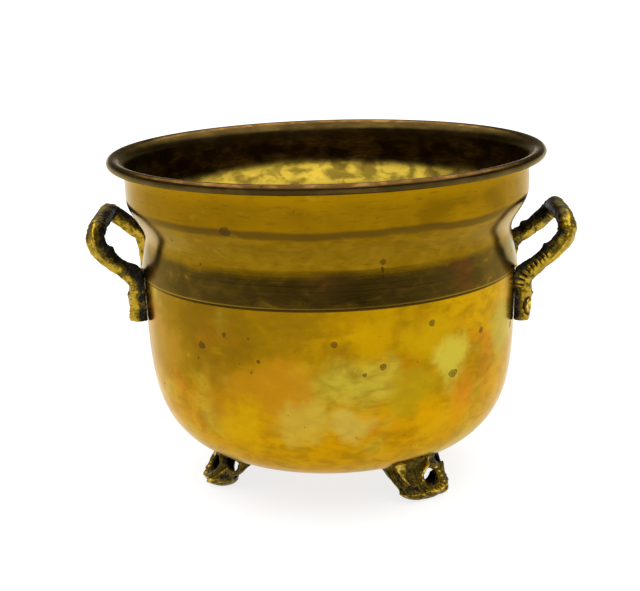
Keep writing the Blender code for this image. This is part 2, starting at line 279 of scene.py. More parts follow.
def make_floor():
    bm = bmesh.new()
    bmesh.ops.create_circle(bm, cap_ends=True, segments=96, radius=14)
    mesh = bpy.data.meshes.new("floor")
    bm.to_mesh(mesh)
    bm.free()
    finish, _, shader, _ = new_material("floor")
    shader.inputs["Base Color"].default_value = (0.30, 0.30, 0.30, 1)
    shader.inputs["Roughness"].default_value = 0.9
    shader.inputs["Specular IOR Level"].default_value = 0.0
    shader.inputs["Emission Color"].default_value = (1, 1, 1, 1)
    shader.inputs["Emission Strength"].default_value = 0.80
    mesh.materials.append(finish)
    floor = bpy.data.objects.new("floor", mesh)
    bpy.context.scene.collection.objects.link(floor)


# ---------------------------------------------------------------- pot


def arc(centre, radius, start, turn, steps):
    angles = [start + turn * step / steps for step in range(1, steps + 1)]
    return [(centre[0] + radius * math.cos(a), centre[1] + radius * math.sin(a)) for a in angles]


def offset(line, distance):
    """Move a profile to the left of its direction of travel. An end on the axis stays on it."""
    moved = []
    for index, point in enumerate(line):
        here = Vector(point)
        before = Vector(line[max(index - 1, 0)])
        after = Vector(line[min(index + 1, len(line) - 1)])
        sides = [step.normalized() for step in (here - before, after - here) if step.length > 0]
        normals = [Vector((-side.y, side.x)) for side in sides]
        mitre = sum(normals, Vector((0, 0))).normalized()
        moved.append(here + mitre * distance / mitre.dot(normals[0]))
    if line[0][0] == 0:
        moved[0].x = 0
    return [tuple(point) for point in moved]


def bowl_point(turn):
    depth = math.sin(turn) ** (2 / BOWL_FLATNESS)
    radius = (1 - BOWL_TAPER * depth) * math.cos(turn) ** (2 / BOWL_FULLNESS)
    return BOWL_RADIUS * radius, HEIGHT - BOWL_TOP_DEPTH - depth * BOWL_DEPTH


def flare_point(t):
    radius = NECK_RADIUS * (1 - t) ** 2 + 2 * t * (1 - t) * FLARE_PULL[0] + CREASE_RADIUS * t**2
    depth = NECK_DEPTH * (1 - t) ** 2 + 2 * t * (1 - t) * FLARE_PULL[1] + CREASE_DEPTH * t**2
    return radius, HEIGHT - depth


def bowl_line():
    """Outer face from the middle of the bottom to the top edge inside the collar piece."""
    steps = 90
    line = [(0.0, bowl_point(BOWL_LAST_TURN)[1])]
    line += [bowl_point(BOWL_LAST_TURN * (1 - (step / steps) ** 1.6)) for step in range(steps + 1)]
    flare = offset([flare_point(1 - step / 40) for step in range(20)], SHEET + TOUCH_GAP)
    return line + [point for point in flare if point[1] < CREASE + LAP_HEIGHT]


def collar_line():
    """Outer face from the crease, through the neck and collar, to the end of the rim's curl."""
    line = [flare_point(1 - step / 24) for step in range(25)]
    neck_steps = 36
    for step in range(1, neck_steps + 1):
        t = step / neck_steps
        swell = (1 - math.cos(math.pi * t)) / 2
        depth = NECK_DEPTH + (COLLAR_DEPTH - NECK_DEPTH) * t
        line.append((NECK_RADIUS + (COLLAR_RADIUS - NECK_RADIUS) * swell, HEIGHT - depth))
    bead_centre_radius = RIM_RADIUS - BEAD_RADIUS
    lip_radius = bead_centre_radius - COLLAR_RADIUS
    lip_centre = (bead_centre_radius, HEIGHT - SHEET - lip_radius)
    collar_steps = 10
    for step in range(1, collar_steps + 1):
        height = HEIGHT - COLLAR_DEPTH + (lip_centre[1] - HEIGHT + COLLAR_DEPTH) * step / collar_steps
        line.append((COLLAR_RADIUS, height))
    line += arc(lip_centre, lip_radius, math.pi, -math.pi / 2, 14)
    line += arc((bead_centre_radius, HEIGHT - BEAD_RADIUS), BEAD_RADIUS - SHEET, math.pi / 2, -CURL_TURN, 26)
    return line


def hand_spun(angle, radius, height):
    """Slight unevenness of the worked sheet, fading towards the rim and the axis."""
    spot = Vector((math.cos(angle), math.sin(angle), 0)) * 2.2
    slow = noise.noise(spot + Vector((0, 0, height * 18)))
    quick = noise.noise(spot * 3 + Vector((5, 0, height * 60)))
    fade = min(1, max(0, (HEIGHT - 0.009 - height) / 0.01)) * min(1, radius / 0.08)
    return (0.00022 * slow + 0.00008 * quick) * fade


def spun_mesh(name, outer, closed=False):
    """Sheet turned from its outer profile, with an attribute that is 1 on its inner face."""
    inner = offset(outer, SHEET)
    profile = [(point, 1.0) for point in inner] + [(point, 0.0) for point in reversed(outer)]
    verts, inside, rows, faces = [], [], [], []
    for (radius, height), share in profile:
        if radius < 1e-7:
            rows.append([len(verts)])
            verts.append((0, 0, height))
            inside.append(share)
            continue
        start = len(verts)
        for index in range(POT_SEGMENTS):
            angle = math.tau * index / POT_SEGMENTS
            reach = radius + hand_spun(angle, radius, height)
            verts.append((reach * math.cos(angle), reach * math.sin(angle), height))
            inside.append(share)
        rows.append(list(range(start, start + POT_SEGMENTS)))
    pairs = list(zip(rows, rows[1:]))
    if closed:
        pairs.append((rows[-1], rows[0]))
    for low, high in pairs:
        for index in range(POT_SEGMENTS):
            following = (index + 1) % POT_SEGMENTS
            if len(low) == 1:
                faces.append((low[0], high[following], high[index]))
            elif len(high) == 1:
                faces.append((low[index], low[following], high[0]))
            else:
                faces.append((low[index], low[following], high[following], high[index]))
    mesh = mesh_of(name, verts, faces, {"inside": inside})
    mesh.set_sharp_from_angle(angle=math.radians(32))
    return mesh


def mesh_of(name, verts, faces, values):
    """Smooth mesh with outward normals and float attributes on its points."""
    mesh = bpy.data.meshes.new(name)
    mesh.from_pydata(verts, [], faces)
    for key, numbers in values.items():
        mesh.attributes.new(key, "FLOAT", "POINT").data.foreach_set("value", numbers)
    bm = bmesh.new()
    bm.from_mesh(mesh)
    bmesh.ops.recalc_face_normals(bm, faces=bm.faces)
    bm.to_mesh(mesh)
    bm.free()
    mesh.shade_smooth()
    return mesh


def place_piece(name, mesh, finish, slot, *nodes):
    """Add a piece that rides on the pot and stands for CAD nodes."""
    piece = bpy.data.objects.new(name, mesh)
    bpy.context.scene.collection.objects.link(piece)
    mesh.materials.append(finish)
    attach(piece, "root")
    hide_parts(*nodes)
    return piece


def wall_spot(degrees, depth):
    """Point on the outer face, from degrees round from the front and millimetres under the rim."""
    height = HEIGHT - depth / 1000
    line = bowl_line()[:-8] + collar_line()[:60]
    below = max((point for point in line if point[1] <= height), key=lambda point: point[1])
    angle = math.radians(degrees)
    return below[0] * math.sin(angle), -below[0] * math.cos(angle), height


def band(tree, value, low, high, soft):
    """1 between low and high, falling to 0 over soft on either side."""
    rise = ease(tree, value, low - soft, low)
    fall = ease(tree, value, high, high + soft, 1, 0)
    return calc(tree, "MULTIPLY", rise, fall)


def stains(tree, place):
    """Share of dark stain from the placed spots and a scatter of specks."""
    fray = {"Vector": place, "Scale": 420, "Detail": 2}
    rough_edge = add_node(tree, "ShaderNodeTexNoise", fray).outputs["Color"]
    shift = scaled(tree, rough_edge, (0.0016, 0.0016, 0.0016))
    warped = add_node(tree, "ShaderNodeVectorMath", {0: place, 1: shift}, operation="ADD").outputs[0]
    total = 0.0
    for degrees, depth, size, width in STAINS:
        spot = Vector(wall_spot(degrees, depth)) + Vector((0.0008, 0.0008, 0.0008))
        away = add_node(tree, "ShaderNodeVectorMath", {0: warped, 1: spot}, operation="SUBTRACT").outputs[0]
        away = scaled(tree, away, (1 / width, 1 / width, 1))
        distance = add_node(tree, "ShaderNodeVectorMath", {0: away}, operation="LENGTH").outputs["Value"]
        blot = ease(tree, distance, size * 0.0004, size * 0.0009, 0.62, 0)
        ring = calc(tree, "MULTIPLY", band(tree, distance, size * 0.0007, size * 0.0008, 0.0003), 0.75)
        total = calc(tree, "MAXIMUM", total, calc(tree, "MAXIMUM", blot, ring))
    for scale, rarity in ((75, 0.60), (150, 0.52)):
        cells = add_node(tree, "ShaderNodeTexVoronoi", {"Vector": warped, "Scale": scale})
        chance = add_node(tree, "ShaderNodeSeparateXYZ", {0: cells.outputs["Color"]}).outputs[0]
        speck = ease(tree, cells.outputs["Distance"], 0.03, 0.09, 0.62, 0)
        speck = calc(tree, "MULTIPLY", ease(tree, chance, rarity, rarity + 0.02), speck)
        total = calc(tree, "MAXIMUM", total, speck)
    return total


class SheetSpot:
    """What the tones of the sheet share: where a point is, and noise of several sizes there."""

    def __init__(self, tree, place):
        parts = add_node(tree, "ShaderNodeSeparateXYZ", {0: place})
        self.place = place
        self.height = parts.outputs["Z"]
        self.wander = calc(tree, "MULTIPLY", calc(tree, "SUBTRACT", clouds(tree, place, 26, 4), 0.5), 0.012)
        self.level = calc(tree, "ADD", self.height, self.wander)
        # Painted shade: the left side of the sheet, towards -X, is darkened in the bowl and collar tones
        self.painted_left_shade = ease(tree, calc(tree, "ADD", parts.outputs["X"], self.wander), 0.045, -0.070)
        self.big = clouds(tree, place, 11, 3, 0.5)
        self.middle = clouds(tree, place, 30, 4, 0.5)
        self.small = clouds(tree, scaled(tree, place, (1, 1, 1.7)), 95, 8, 0.6)
        self.rubbed = clouds(tree, scaled(tree, place, (1, 1, 5)), 120, 6, 0.3)


def torn_place(tree, place):
    """Place shifted by noise, so that round clouds get ragged edges."""
    jitter = {"Vector": place, "Scale": 48, "Detail": 7, "Roughness": 0.62}
    torn = add_node(tree, "ShaderNodeTexNoise", jitter).outputs["Color"]
    centred = {0: torn, 1: (0.5, 0.5, 0.5)}
    torn = add_node(tree, "ShaderNodeVectorMath", centred, operation="SUBTRACT").outputs[0]
    torn = scaled(tree, torn, (0.046, 0.046, 0.046))
    return add_node(tree, "ShaderNodeVectorMath", {0: place, 1: torn}, operation="ADD").outputs[0]


def bowl_tone(tree, spot):
    """Gold with a painted brown shade on the left, a painted orange reflection low down, fire marks and pale
    haze, then the placed clouds.
    """
    bowl = mix(tree, ease(tree, spot.big, 0.38, 0.62), (0.50, 0.275, 0.001), (0.36, 0.195, 0.001))
    bowl = mix(tree, calc(tree, "MULTIPLY", spot.painted_left_shade, 0.80), bowl, (0.215, 0.112, 0.002))
    # Painted reflection: the bowl is lightened towards orange low down, standing for the bright floor it faces
    low = ease(tree, spot.level, HEIGHT - 0.108, HEIGHT - 0.132)
    bowl = mix(tree, calc(tree, "MULTIPLY", low, 0.75), bowl, (0.58, 0.290, 0.0005))
    fire = ease(tree, clouds(tree, spot.place, 22, 4, 0.7), 0.52, 0.72, 0, 0.75)
    fire = calc(tree, "MULTIPLY", fire, band(tree, spot.level, HEIGHT - 0.135, HEIGHT - 0.080, 0.012))
    bowl = mix(tree, fire, bowl, (0.46, 0.165, 0.006))
    haze = ease(tree, clouds(tree, spot.place, 17, 3, 0.3), 0.54, 0.68, 0, 0.8)
    bowl = mix(tree, haze, bowl, (0.45, 0.36, 0.03))
    bowl = mix(tree, ease(tree, spot.small, 0.32, 0.62, 0.42, 0), bowl, (0.19, 0.095, 0.002))
    bowl = mix(tree, ease(tree, spot.rubbed, 0.55, 0.75, 0, 0.35), bowl, (0.24, 0.130, 0.003))
    bowl = mix(tree, ease(tree, spot.small, 0.60, 0.85, 0, 0.5), bowl, (0.62, 0.36, 0.004))
    torn = torn_place(tree, spot.place)
    for degrees, depth, size, strength, tone in CLOUDS:
        away = {0: torn, 1: wall_spot(degrees, depth)}
        distance = add_node(tree, "ShaderNodeVectorMath", away, operation="DISTANCE").outputs["Value"]
        bowl = mix(tree, ease(tree, distance, size * 0.00115, size * 0.00035, 0, strength), bowl, tone)
    # Painted shade: the lowest part of the bowl, where the feet meet it, is darkened
    bottom = ease(tree, spot.height, 0.032, 0.021)
    bowl = mix(tree, calc(tree, "MULTIPLY", bottom, 0.6), bowl, (0.18, 0.10, 0.01))
    return bowl


def collar_tone(tree, spot):
    """From the rim's bead down: dark bead, gold collar with a painted highlight at its top, a dark line of
    painted shade above the neck, the tarnished shoulder darkened further as a painted reflection, and a painted
    highlight along the collar's lowest millimetre.
    """
    collar = mix(tree, ease(tree, spot.middle, 0.35, 0.65), (0.175, 0.090, 0.001), (0.270, 0.140, 0.001))
    collar = mix(tree, calc(tree, "MULTIPLY", spot.painted_left_shade, 0.30), collar, (0.17, 0.085, 0.003))
    # Painted highlight: the top of the collar, under the bead, is lightened
    top = ease(tree, spot.level, HEIGHT - 0.016, HEIGHT - 0.008, 0, 0.6)
    collar = mix(tree, top, collar, (0.34, 0.18, 0.001))
    # Painted shade with tarnished colour: a dark line where the collar turns in above the neck
    steadier = calc(tree, "ADD", spot.level, calc(tree, "MULTIPLY", spot.wander, -0.6))
    line = band(tree, steadier, HEIGHT - 0.029, HEIGHT - 0.0265, 0.002)
    collar = mix(tree, calc(tree, "MULTIPLY", line, 0.80), collar, (0.075, 0.042, 0.005))
    neck = ease(tree, spot.level, HEIGHT - 0.028, HEIGHT - 0.034)
    neck_tone = mix(tree, ease(tree, spot.small, 0.35, 0.65), (0.185, 0.100, 0.002), (0.235, 0.130, 0.004))
    collar = mix(tree, neck, collar, neck_tone)
    # The shoulder is darkened as tarnished brass and as a painted dark reflection of the room above
    tarnish_and_painted_reflection = ease(tree, spot.level, HEIGHT - 0.0475, HEIGHT - 0.052)
    shoulder = mix(tree, ease(tree, spot.small, 0.4, 0.7), (0.075, 0.045, 0.007), (0.12, 0.070, 0.008))
    shoulder = mix(tree, ease(tree, spot.middle, 0.55, 0.75, 0, 0.5), shoulder, (0.16, 0.045, 0.012))
    collar = mix(tree, tarnish_and_painted_reflection, collar, shoulder)
    collar = mix(tree, ease(tree, spot.small, 0.62, 0.8, 0, 0.4), collar, (0.42, 0.23, 0.015))
    collar = mix(tree, ease(tree, spot.rubbed, 0.52, 0.75, 0, 0.45), collar, (0.11, 0.058, 0.004))
    # Painted highlight: a lighter band along the collar's lowest millimetre, just above the crease
    painted_edge_highlight = ease(tree, spot.height, CREASE + 0.0010, CREASE + 0.0006, 0, 0.8)
    collar = mix(tree, painted_edge_highlight, collar, (0.30, 0.18, 0.02))
    bead = ease(tree, spot.height, HEIGHT - 0.0062, HEIGHT - 0.0052)
    bead_tone = mix(tree, ease(tree, spot.small, 0.4, 0.7), (0.085, 0.036, 0.009), (0.22, 0.11, 0.03))
    collar = mix(tree, bead, collar, bead_tone)
    return collar


def inside_tone(tree, spot):
    """Oxidised brown with a dark lip, a band of painted reflection on the step of the neck and a warmer depth.
    """
    streaks = clouds(tree, scaled(tree, spot.place, (1, 1, 1.7)), 60, 7, 0.25)
    dull = mix(tree, ease(tree, streaks, 0.36, 0.66), (0.040, 0.022, 0.006), (0.20, 0.125, 0.026))
    dull = mix(tree, ease(tree, spot.rubbed, 0.42, 0.62, 0, 0.55), dull, (0.032, 0.018, 0.006))
    lip = ease(tree, spot.height, HEIGHT - 0.014, HEIGHT - 0.008, 0, 0.75)
    dull = mix(tree, lip, dull, (0.050, 0.032, 0.009))
    # Painted reflection: the inside of the neck's step, which faces the light overhead, is lightened
    clean = band(tree, spot.level, HEIGHT - 0.046, HEIGHT - 0.031, 0.006)
    step_painted_reflection = mix(tree, ease(tree, streaks, 0.36, 0.54), (0.150, 0.100, 0.012), (0.40, 0.28, 0.030))
    step_painted_reflection = mix(tree, ease(tree, spot.small, 0.34, 0.50, 0.6, 0), step_painted_reflection, (0.10, 0.060, 0.008))
    dull = mix(tree, clean, dull, step_painted_reflection)
    deep = ease(tree, spot.height, HEIGHT - 0.062, HEIGHT - 0.075, 0, 0.8)
    dull = mix(tree, deep, dull, (0.30, 0.17, 0.02))
    return dull


def brass_sheet(name):
    """Worn polished brass: bowl and collar tones, a dark line of painted shade and dirt under the lap between
    them, stains and a dull inside.
    """
    finish, tree, shader, place = new_material(name)
    spot = SheetSpot(tree, place)
    bowl, collar = bowl_tone(tree, spot), collar_tone(tree, spot)

    # The bowl's first millimetre under the lap is darkened as painted shade of the gap, with some dirt
    upper = ease(tree, spot.height, CREASE - 0.0004, CREASE - 0.0001)
    colour = mix(tree, upper, bowl, collar)
    lap_shade_and_dirt = band(tree, spot.height, CREASE - 0.0012, CREASE - 0.0001, 0.0004)
    colour = mix(tree, calc(tree, "MULTIPLY", lap_shade_and_dirt, 0.92), colour, (0.030, 0.016, 0.004))
    stain = stains(tree, spot.place)
    colour = mix(tree, stain, colour, (0.045, 0.024, 0.006))

    inside = add_node(tree, "ShaderNodeAttribute", attribute_name="inside").outputs["Fac"]
    inside = calc(tree, "MULTIPLY", inside, ease(tree, spot.height, HEIGHT - 0.0008, HEIGHT - 0.0016))
    colour = mix(tree, inside, colour, inside_tone(tree, spot))
    tree.links.new(colour, shader.inputs["Base Color"])
    shader.inputs["Metallic"].default_value = 1.0
    shader.inputs["Specular Tint"].default_value = (1.0, 0.88, 0.60, 1)
    polish = ease(tree, spot.middle, 0.3, 0.7, 0.15, 0.27)
    rough = calc(tree, "ADD", polish, calc(tree, "MULTIPLY", stain, 0.25))
    rough = calc(tree, "ADD", rough, calc(tree, "MULTIPLY", inside, 0.12))
    tree.links.new(rough, shader.inputs["Roughness"])
    lines = clouds(tree, scaled(tree, spot.place, (4, 4, 620)), 1.0, 2)
    relief = calc(tree, "ADD", calc(tree, "MULTIPLY", lines, 0.35), calc(tree, "MULTIPLY", spot.small, 0.5))
    relief = calc(tree, "SUBTRACT", relief, calc(tree, "MULTIPLY", stain, 0.5))
    bump = add_node(tree, "ShaderNodeBump", {"Strength": 0.10, "Distance": 0.0005, "Height": relief})
    tree.links.new(bump.outputs[0], shader.inputs["Normal"])
    return finish


def make_pot():
    finish = brass_sheet("pot_brass")
    place_piece("bowl", spun_mesh("bowl", bowl_line()), finish, "spun_brass", "pot_bowl")
    collar = spun_mesh("collar", collar_line(), closed=True)
    place_piece("collar", collar, finish, "spun_brass", "pot_collar")


# ---------------------------------------------------------------- cast pieces


def cast_brass(name, black_to, gold_from, mottle):
    """Antiqued casting: gold on the high parts, black in the recesses, both from the relief attribute, which on
    the handles also holds painted shade on the side facing the pot.
    """
    finish, tree, shader, place = new_material(name)
    relief = add_node(tree, "ShaderNodeAttribute", attribute_name="relief").outputs["Fac"]
    grain = clouds(tree, place, 900, 4)
    patch = clouds(tree, place, 210, 4, 0.5)
    blotches = calc(tree, "MULTIPLY", calc(tree, "SUBTRACT", patch, 0.5), mottle)
    speckle = calc(tree, "MULTIPLY", calc(tree, "SUBTRACT", grain, 0.5), 0.5)
    worn = calc(tree, "ADD", calc(tree, "ADD", relief, blotches), speckle)
    gold = mix(tree, ease(tree, patch, 0.35, 0.65), (0.30, 0.190, 0.014), (0.46, 0.300, 0.024))
    gold = mix(tree, ease(tree, worn, 0.95, 1.35), gold, (0.82, 0.62, 0.16))
    olive = mix(tree, ease(tree, grain, 0.4, 0.6), (0.070, 0.052, 0.006), (0.160, 0.108, 0.011))
    colour = mix(tree, ease(tree, worn, gold_from, gold_from + 0.28), olive, gold)
    colour = mix(tree, ease(tree, worn, black_to - 0.28, black_to), (0.008, 0.006, 0.004), colour)
    tree.links.new(colour, shader.inputs["Base Color"])
    tree.links.new(ease(tree, worn, black_to - 0.2, black_to + 0.1, 0.0, 1.0), shader.inputs["Metallic"])
    shader.inputs["Specular IOR Level"].default_value = 0.12
    tree.links.new(ease(tree, worn, 0.2, 1.1, 0.48, 0.27), shader.inputs["Roughness"])
    height = calc(tree, "ADD", calc(tree, "MULTIPLY", grain, 0.5), patch)
    bump = add_node(tree, "ShaderNodeBump", {"Strength": 0.45, "Distance": 0.0004, "Height": height})
    tree.links.new(bump.outputs[0], shader.inputs["Normal"])
    return finish


def hump(value, centre, width):
    return math.exp(-(((value - centre) / width) ** 2))


def turn_gap(a, b):
    """Smallest difference of two angles in degrees, signed."""
    return (a - b + 180) % 360 - 180


def path_points(side):
    """Path of a handle from the foot of its front stub, in the handle's own turn; the back arm is raised."""
    reach, length, lowest = HANDLE_FITS[side]
    base = HANDLE_ARM[0][2]
    front = -math.cos(HANDLE_TURNS[side])

    def placed(out, across, depth, radius):
        wide = STUB_OUT + (out - STUB_OUT) * reach
        return Vector((wide, front * across, HEIGHT - lowest + (base - depth) * length, radius))

    arm = [placed(*spot) for spot in HANDLE_ARM]
    middle = [placed(*HANDLE_MIDDLE)]
    lifts = [HANDLE_LIFTS[side] * share for share in LIFT_SHARES]
    raised = [Vector((p[0], -p[1], p[2] + lift, p[3])) for p, lift in zip(arm, lifts)]
    return arm + middle + raised[::-1]


def smooth_path(points, count):
    """Evenly spaced points along a Catmull-Rom curve through (x, y, z, radius)."""
    fine = []
    for index in range(len(points) - 1):
        a, b = points[max(index - 1, 0)], points[index]
        c, d = points[index + 1], points[min(index + 2, len(points) - 1)]
        for step in range(24):
            t = step / 24
            curve = b * 2 + (c - a) * t + (a * 2 - b * 5 + c * 4 - d) * t**2 + (b * 3 - a - c * 3 + d) * t**3
            fine.append(curve / 2)
    fine.append(points[-1])
    lengths = [0.0]
    for before, after in zip(fine, fine[1:]):
        lengths.append(lengths[-1] + (after.xyz - before.xyz).length)
    even = []
    spot = 0
    for index in range(count):
        goal = lengths[-1] * index / (count - 1)
        while spot < len(lengths) - 2 and lengths[spot + 1] < goal:
            spot += 1
        span = lengths[spot + 1] - lengths[spot]
        even.append(fine[spot].lerp(fine[spot + 1], (goal - lengths[spot]) / span if span else 0))
    return even, lengths[-1]


def faceted(degrees, sides, phase):
    """Radius share of a polygon with soft corners."""
    step = 360 / sides
    away = abs((degrees + phase) % step - step / 2)
    flat = math.cos(math.radians(step / 2)) / math.cos(math.radians(step / 2 - away))
    return 0.35 + 0.65 * flat / math.cos(math.radians(step / 4)) ** 2


def bark(along, degrees, notched):
    """Relief in millimetres of the branch at a distance from its stub's foot, and how clean that spot is,
    painted shade on the side facing the pot included.
    """
    back = turn_gap(degrees, 180)
    rise = 1.8 * hump(back, 0, 50) * (along < 27) + 2.4 * hump(along, 27, 5) * hump(back, 0, 45)
    rise += 1.7 * hump(along, 47, 2.4) * hump(back, 0, 42)
    rise += 1.0 * hump(along, 16, 1.5) * hump(turn_gap(degrees, -5), 0, 22)
    rise -= 0.5 * hump(along, 42, 3.0) * hump(turn_gap(degrees, 0), 0, 60)
    ridge_turn = -62 - 22 * math.sin((along - 40) / 14)
    ridge = hump(turn_gap(degrees, ridge_turn), 0, 11) * hump(along, 52, 15)
    rise += 0.75 * ridge
    clean = 0.62 + 0.5 * ridge
    # Painted shade: the side of the branch facing the pot is made less clean, so it turns dark
    inner = hump(back, 0, 60 if notched or along < 29 else 84)
    clean -= 0.85 * inner
    if notched:
        comb = math.sin(along * math.tau / 2.7) > 0.35
        strip = hump(turn_gap(degrees, -118), 0, 22) * (21 < along < 46)
        if comb:
            rise -= 0.65 * strip
            clean -= 0.8 * strip
        else:
            clean += 0.45 * strip
        leaf = math.hypot((along - 9.5) / 4.5, turn_gap(degrees, -55) / 34)
        rise += 0.9 * hump(leaf, 0.55, 0.35) - 0.7 * hump(leaf, 1.05, 0.16)
        clean += 0.35 * hump(leaf, 0.5, 0.4) - 0.9 * hump(leaf, 1.05, 0.15)
    else:
        slope = turn_gap(degrees, -45 - (along - 12) * 3.0)
        groove = hump(slope, 0, 13) * (along < 30)
        ladder = math.sin(along * math.tau / 1.9)
        rise += 0.7 * groove * (1 + 0.35 * ladder)
        clean += 0.45 * groove * (0.7 + 0.5 * ladder)
        clean -= 0.35 * hump(turn_gap(degrees, -118), 0, 18) * (along < 30)
        rise -= 1.0 * hump(along, 34, 1.8) * hump(turn_gap(degrees, 0), 0, 55)
        clean -= 0.8 * hump(along, 34, 2.0) * hump(turn_gap(degrees, -10), 0, 60)
    return rise, clean


def handle_mesh(side):
    path, total = smooth_path(path_points(side), HANDLE_RINGS)
    total *= 1000
    verts, relief, faces = [], [], []
    outward = Vector((1, 0, 0))
    for index, spot in enumerate(path):
        before, after = path[max(index - 1, 0)], path[min(index + 1, HANDLE_RINGS - 1)]
        tangent = (after.xyz - before.xyz).normalized()
        normal = (outward - tangent * outward.dot(tangent)).normalized()
        binormal = tangent.cross(normal)
        along = total * index / (HANDLE_RINGS - 1)
        nearest = min(along, total - along)
        notched = (along < total / 2) == (side == "right")
        turned = -1 if side == "left" else 1
        cap = min(1, nearest / 2.2)
        cap = 0.55 + 0.45 * math.sqrt(1 - (1 - cap) ** 2)
        middle = min(1, max(0, (nearest - 58) / 6))
        for step in range(HANDLE_SIDES):
            degrees = 360 * step / HANDLE_SIDES
            angle = math.radians(degrees)
            rise, clean = bark(nearest, degrees * turned, notched)
            body = faceted(degrees, 5, 20 + nearest * 1.3) * (1 - middle) + middle
            direction = normal * math.cos(angle) + binormal * math.sin(angle)
            skin = spot.xyz + direction * spot.w * 1.05 * cap * body
            grains = [noise.noise(skin * scale) for scale in BARK_GRAIN]
            coarse = grains[0] * 0.55 + grains[1] * 0.30
            fine = grains[2] * 0.14
            rings = hump(nearest, 63.5, 0.8) + 0.8 * hump(nearest, 67.0, 0.7)
            lift = rise * cap + coarse + fine + rings * 0.45
            clean += rings * 0.35 - 0.12 * middle
            verts.append(skin + direction * lift / 1000)
            # The relief attribute carries the clean share, with the painted shade on the side facing the pot
            relief.append(max(0, clean + coarse * 0.6))
    for index in range(HANDLE_RINGS - 1):
        for step in range(HANDLE_SIDES):
            a, b = index * HANDLE_SIDES + step, index * HANDLE_SIDES + (step + 1) % HANDLE_SIDES
            faces.append((a, b, b + HANDLE_SIDES, a + HANDLE_SIDES))
    for start, end in ((0, path[0]), ((HANDLE_RINGS - 1) * HANDLE_SIDES, path[-1])):
        verts.append(end.xyz)
        relief.append(0.5)
        for step in range(HANDLE_SIDES):
            faces.append((start + step, start + (step + 1) % HANDLE_SIDES, len(verts) - 1))
    return mesh_of(f"handle_{side}", keep_off_wall(verts), faces, {"relief": relief})


def wall_radius(height):
    """Largest radius of the pot's outer face near this height."""
    depth = HEIGHT - height
    if depth > BOWL_TOP_DEPTH:
        share = min(0.98, (depth - BOWL_TOP_DEPTH) / BOWL_DEPTH)
        return BOWL_RADIUS * (1 - BOWL_TAPER * share) * (1 - share**BOWL_FLATNESS) ** (1 / BOWL_FULLNESS)
    if depth > NECK_DEPTH:
        t = (depth - NECK_DEPTH) / (CREASE_DEPTH - NECK_DEPTH)
        return NECK_RADIUS + (CREASE_RADIUS - NECK_RADIUS) * t
    return NECK_RADIUS


def keep_off_wall(verts):
    """Lay the points that would enter the pot on its outer face."""
    moved = []
    for vert in verts:
        flat = math.hypot(vert.x, vert.y)
        least = wall_radius(vert.z) + 0.00035
        grow = max(1, least / flat)
        moved.append((vert.x * grow, vert.y * grow, vert.z))
    return moved


def make_handles():
    finish = cast_brass("handle_brass", 0.28, 0.34, 0.7)
    for side, turn in HANDLE_TURNS.items():
        mesh = handle_mesh(side)
        mesh.transform(Matrix.Rotation(turn, 4, "Z"))
        place_piece(f"branch_{side}", mesh, finish, "cast_brass", f"handle_{side}")


def level_at(levels, height):
    """Foot section at a height, by smooth interpolation of its levels."""
    height = min(max(height, levels[0][0]), levels[-1][0])
    index = max(i for i in range(len(levels) - 1) if levels[i][0] <= height)
    low, high = Vector(levels[index][1:]), Vector(levels[index + 1][1:])
    t = (height - levels[index][0]) / (levels[index + 1][0] - levels[index][0])
    return low.lerp(high, t)


def foot_relief(turn, height):
    """Relief in millimetres of a foot and how clean that spot is. The turn is 0 straight outward, in degrees."""
    wide = (turn - 2) / 3.1
    tall = height - 12.0
    ring = math.hypot(wide / 6.4, tall / 5.6)
    rim = hump(height, 2.8, 3.2)
    beads = 0.5 + 0.5 * math.sin(math.atan2(tall, wide) * 17)
    rise = -1.1 + 2.0 * rim
    clean = 0.16 + 0.44 * rim
    loop = hump(ring, 1.22, 0.24)
    rise += 2.0 * loop
    clean += 0.30 * loop + 0.75 * hump(ring, 1.03, 0.09) * beads
    for foot_turn, top_turn in ((-36, -28), (-76, -66), (-94, -80), (50, 122)):
        here = foot_turn + (top_turn - foot_turn) * min(1, max(0, (height - 4) / 16))
        rib = hump(turn_gap(turn, here), 0, 3.4) * min(1, max(0, (height - 3) / 3))
        rise += 1.6 * rib
        clean += 0.42 * rib
    crest = hump(turn_gap(turn, -17 + (height - 12) * 2.2), 0, 4.5) * min(1, max(0, height - 11))
    rise += 1.2 * crest
    clean += 0.7 * crest
    leaf = abs(turn_gap(turn, -49)) / max(1.0, (height - 9.5) * 1.05)
    if height > 10 and leaf < 1:
        rise += 1.3 * (1 - leaf**4)
        clean += 0.85 * (1 - leaf**4)
    line = hump(height, 5.6, 0.6) * (abs(turn) < 100)
    groove = hump(height, 8.0, 1.7) * (ring > 1.4)
    pit = hump(math.hypot((turn - 34) / 8, (height - 18.6) / 2.4), 0, 1)
    rise += 0.55 * line - 0.7 * groove - 1.0 * pit
    clean += 0.45 * line - 0.22 * groove - 1.1 * pit
    side_rim = hump(turn_gap(turn, 18 + 2 * height), 0, 6.5)
    rise += 1.6 * side_rim
    clean += 0.55 * side_rim
    rise += 2.8 * hump(turn_gap(turn, -84), 0, 32) * hump(height, 4.5, 4.0)
    rise += 1.3 * hump(turn_gap(turn, 32), 0, 36) * hump(height, 5.5, 5.0)
    back = min(1, max(0, (abs(turn_gap(turn, 10)) - 115) / 25))
    rise = rise * (1 - back) - 0.2 * back
    clean = clean * (1 - back) + 0.05 * back
    return rise, clean


